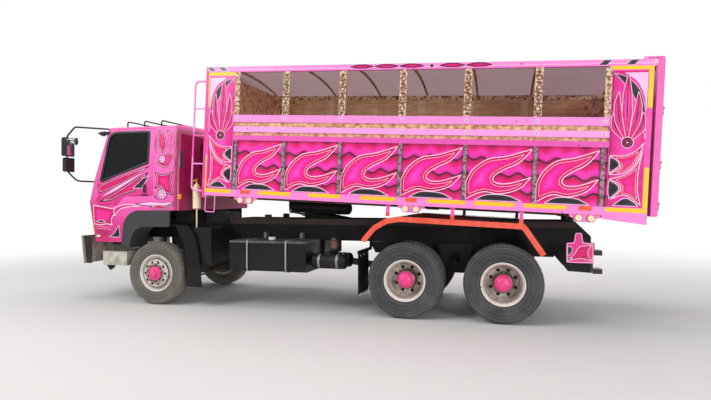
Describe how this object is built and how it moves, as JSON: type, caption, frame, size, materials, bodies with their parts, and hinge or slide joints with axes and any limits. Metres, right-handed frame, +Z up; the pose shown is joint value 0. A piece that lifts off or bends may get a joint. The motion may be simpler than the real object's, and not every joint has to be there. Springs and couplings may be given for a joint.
{
  "type": "decorated tipper truck",
  "caption": "Rigid cab-over tipper truck with a tall painted steel bed, tilting cab, underbody telescopic hoist, opening doors and tailgate, steering and rolling wheels",
  "frame": {"origin": "on the ground, at the middle of the whole truck's length and width", "axes": "+X runs rearward along the truck, +Y to the truck's right side, +Z up"},
  "size_m": [8.864, 3.06, 3.9031],
  "materials": {
    "tyre_rubber": "dusty black rubber",
    "wheel_steel": "silver-cream painted steel with pink hubs",
    "chassis_black": "satin black paint, dusty",
    "spring_steel": "black painted spring steel",
    "axle_iron": "black painted castings",
    "engine_iron": "dark castings, oily",
    "subframe_brown": "brown primer, dusty",
    "bumper_silver": "bare steel plate, scuffed",
    "bottle_cream": "cream paint with brass valve",
    "coupling_pink": "pink paint over black steel",
    "cab_pink": "gloss pink paint with darker ornament",
    "dark_glass": "dark tinted glass",
    "black_plastic": "black moulded plastic",
    "grey_plastic": "dark grey moulded plastic",
    "lamp_lens": "cream and clear lamp lenses",
    "tail_lens": "red lamp lenses",
    "seat_fabric": "woven grey seat cloth",
    "dash_plastic": "dark grey plastic",
    "bed_pink": "gloss pink paint with ornament",
    "rail_pink": "light pink and yellow paint",
    "post_beige": "worn beige paint, rusty",
    "floor_steel": "worn rusty steel floor",
    "board_wood": "brown weathered boards",
    "guard_orange": "orange-red paint, dusty",
    "cover_cloth": "grey-mauve canvas sheet",
    "ram_chrome": "polished ram",
    "hoist_paint": "dark paint, oily"
  },
  "bodies": {
    "root": {"air_tanks": "chassis_black", "drive_line": "axle_iron", "engine_block": "engine_iron", "front_axle_beam": "axle_iron", "front_bumper": "bumper_silver", "fuel_tank": "chassis_black", "ladder_frame": "chassis_black", "leaf_springs": "spring_steel", "mudguards": "black_plastic", "muffler": "chassis_black", "rear_axles": "axle_iron", "side_boxes": "chassis_black", "sub_frame": "subframe_brown", "tail_lamps": "tail_lens", "tow_coupling": "coupling_pink", "upright_bottle": "bottle_cream"},
    "cab": {"cab_shell": "cab_pink", "cab_glass": "dark_glass", "front_panel": "black_plastic", "headlamps": "lamp_lens", "wheel_arches": "grey_plastic", "seats": "seat_fabric", "dashboard": "dash_plastic", "mirrors": "black_plastic", "roof_bars": "black_plastic"},
    "door_left": {"door_left": "cab_pink", "door_glass_left": "dark_glass"},
    "door_right": {"door_right": "cab_pink", "door_glass_right": "dark_glass"},
    "steering_wheel": {"steering_wheel": "dash_plastic"},
    "knuckle_left": {"knuckle_left": "axle_iron"},
    "knuckle_right": {"knuckle_right": "axle_iron"},
    "tie_rod": {"tie_rod": "axle_iron"},
    "front_wheel_left": {"front_tyre_left": "tyre_rubber", "front_rim_left": "wheel_steel"},
    "mid_wheels_left": {"mid_tyres_left": "tyre_rubber", "mid_rims_left": "wheel_steel"},
    "rear_wheels_left": {"rear_tyres_left": "tyre_rubber", "rear_rims_left": "wheel_steel"},
    "front_wheel_right": {"front_tyre_right": "tyre_rubber", "front_rim_right": "wheel_steel"},
    "mid_wheels_right": {"mid_tyres_right": "tyre_rubber", "mid_rims_right": "wheel_steel"},
    "rear_wheels_right": {"rear_tyres_right": "tyre_rubber", "rear_rims_right": "wheel_steel"},
    "bed": {"bed_floor": "floor_steel", "headboard": "bed_pink", "side_panels": "bed_pink", "side_rails": "rail_pink", "side_posts": "post_beige", "side_boards": "board_wood", "side_lamps": "lamp_lens", "bed_guards": "guard_orange", "ladder": "rail_pink", "cover_bows": "post_beige", "load_cover": "cover_cloth"},
    "tailgate": {"tailgate": "bed_pink"},
    "hoist_barrel": {"hoist_barrel": "hoist_paint"},
    "hoist_stage": {"hoist_stage": "ram_chrome"},
    "hoist_ram": {"hoist_ram": "ram_chrome"}
  },
  "joints": [
    {"name": "bed_tip", "type": "hinge", "parent": "root", "child": "bed", "pos_m": [3.413, 0, 1.42], "axis": [0, 1, 0], "range_deg": [-2.73, 42.27]},
    {"name": "tailgate_swing", "type": "hinge", "parent": "bed", "child": "tailgate", "pos_m": [4.21972, 0, 3.47226], "axis": [0, -1, 0], "range_deg": [0, 60]},
    {"name": "hoist_swing", "type": "hinge", "parent": "root", "child": "hoist_barrel", "pos_m": [0.383, 0, 1.25], "axis": [0, 1, 0], "range_deg": [-5.43, 76.91]},
    {"name": "hoist_stage_slide", "type": "slide", "parent": "hoist_barrel", "child": "hoist_stage", "axis": [-0.9844, 0, 0.1758], "range_m": [-0.0589, 0.8973]},
    {"name": "hoist_ram_slide", "type": "slide", "parent": "hoist_stage", "child": "hoist_ram", "axis": [-0.9844, 0, 0.1758], "range_m": [-0.0589, 0.8973]},
    {"name": "cab_tilt", "type": "hinge", "parent": "root", "child": "cab", "pos_m": [-4.077, 0, 1.06], "axis": [0, -1, 0], "range_deg": [0, 45]},
    {"name": "door_left_swing", "type": "hinge", "parent": "cab", "child": "door_left", "pos_m": [-4.004, -1.23, 2], "axis": [0, 0, -1], "range_deg": [0, 70]},
    {"name": "door_right_swing", "type": "hinge", "parent": "cab", "child": "door_right", "pos_m": [-4.004, 1.23, 2], "axis": [0, 0, 1], "range_deg": [0, 70]},
    {"name": "steering_wheel_turn", "type": "hinge", "parent": "cab", "child": "steering_wheel", "pos_m": [-3.607, 0.56, 1.985], "axis": [0.5, 0, 0.866], "range_deg": [-496, 496]},
    {"name": "steer_left", "type": "hinge", "parent": "root", "child": "knuckle_left", "pos_m": [-2.917, -0.925, 0.504], "axis": [0, 0, 1], "range_deg": [-33, 33]},
    {"name": "steer_right", "type": "hinge", "parent": "root", "child": "knuckle_right", "pos_m": [-2.917, 0.925, 0.504], "axis": [0, 0, 1], "range_deg": [-33, 33]},
    {"name": "tie_rod_turn", "type": "hinge", "parent": "knuckle_left", "child": "tie_rod", "pos_m": [-2.657, -0.885, 0.366], "axis": [0, 0, 1], "range_deg": [-33, 33]},
    {"name": "front_spin_left", "type": "hinge", "parent": "knuckle_left", "child": "front_wheel_left", "pos_m": [-2.917, -1.062, 0.504], "axis": [0, 1, 0], "continuous": true},
    {"name": "mid_spin_left", "type": "hinge", "parent": "root", "child": "mid_wheels_left", "pos_m": [1.134, -1.076, 0.538], "axis": [0, 1, 0], "continuous": true},
    {"name": "rear_spin_left", "type": "hinge", "parent": "root", "child": "rear_wheels_left", "pos_m": [2.48, -1.076, 0.538], "axis": [0, 1, 0], "continuous": true},
    {"name": "front_spin_right", "type": "hinge", "parent": "knuckle_right", "child": "front_wheel_right", "pos_m": [-2.917, 1.062, 0.504], "axis": [0, 1, 0], "continuous": true},
    {"name": "mid_spin_right", "type": "hinge", "parent": "root", "child": "mid_wheels_right", "pos_m": [1.134, 1.076, 0.538], "axis": [0, 1, 0], "continuous": true},
    {"name": "rear_spin_right", "type": "hinge", "parent": "root", "child": "rear_wheels_right", "pos_m": [2.48, 1.076, 0.538], "axis": [0, 1, 0], "continuous": true}
  ],
  "couplings": [
    {"joint": "hoist_swing", "follows": "bed_tip", "ratio": 1.8077},
    {"joint": "hoist_stage_slide", "follows": "bed_tip", "m_per_rad": 1.2149},
    {"joint": "hoist_ram_slide", "follows": "bed_tip", "m_per_rad": 1.2149},
    {"joint": "steer_right", "follows": "steer_left", "ratio": 1},
    {"joint": "tie_rod_turn", "follows": "steer_left", "ratio": -1},
    {"joint": "steering_wheel_turn", "follows": "steer_left", "ratio": 15}
  ]
}
